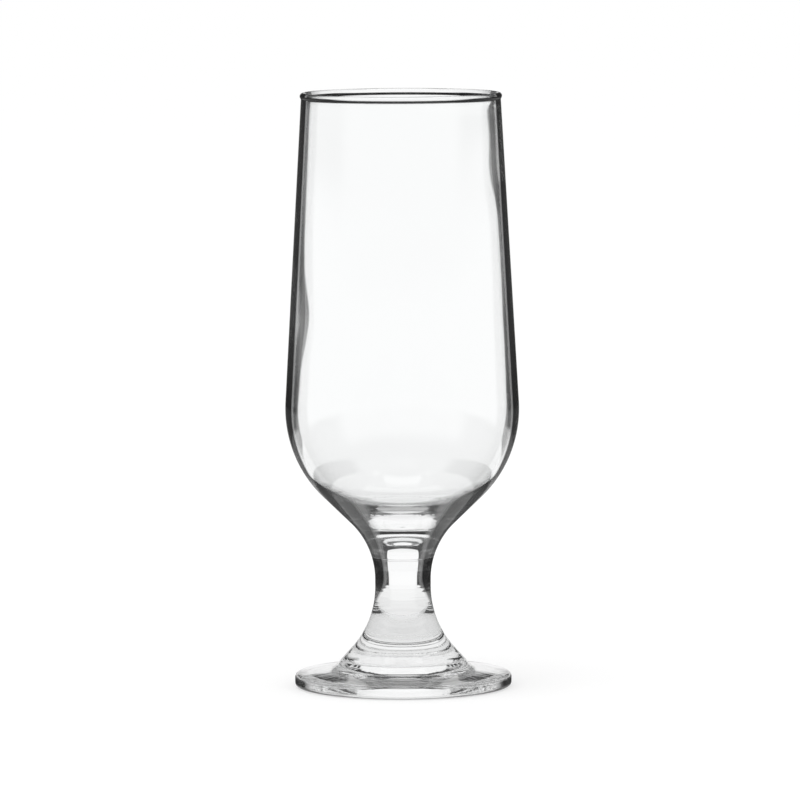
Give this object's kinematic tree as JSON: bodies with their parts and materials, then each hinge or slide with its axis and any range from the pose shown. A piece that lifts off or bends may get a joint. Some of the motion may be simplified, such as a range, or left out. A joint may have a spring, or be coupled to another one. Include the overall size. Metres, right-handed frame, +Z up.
{
  "type": "beer glass",
  "caption": "Stemmed clear beer glass: a tall bowl that narrows to the rim on a heavy conical base, a solid waisted stem and a round foot.",
  "frame": {"origin": "centre of the foot, on the surface that the glass stands on", "axes": "+Z up along the glass's own axis; the glass is round, so +X and +Y have no marks of their own"},
  "size_m": [0.0722, 0.0722, 0.1835],
  "materials": {
    "bowl_glass": "clear, blown, fire-polished lip, faintly wavy wall",
    "stem_glass": "clear, solid, fine level ripples from drawing",
    "foot_glass": "clear, pressed, fire-polished edge"
  },
  "bodies": {
    "root": {"bowl": "bowl_glass", "stem": "stem_glass", "foot": "foot_glass"}
  },
  "joints": []
}
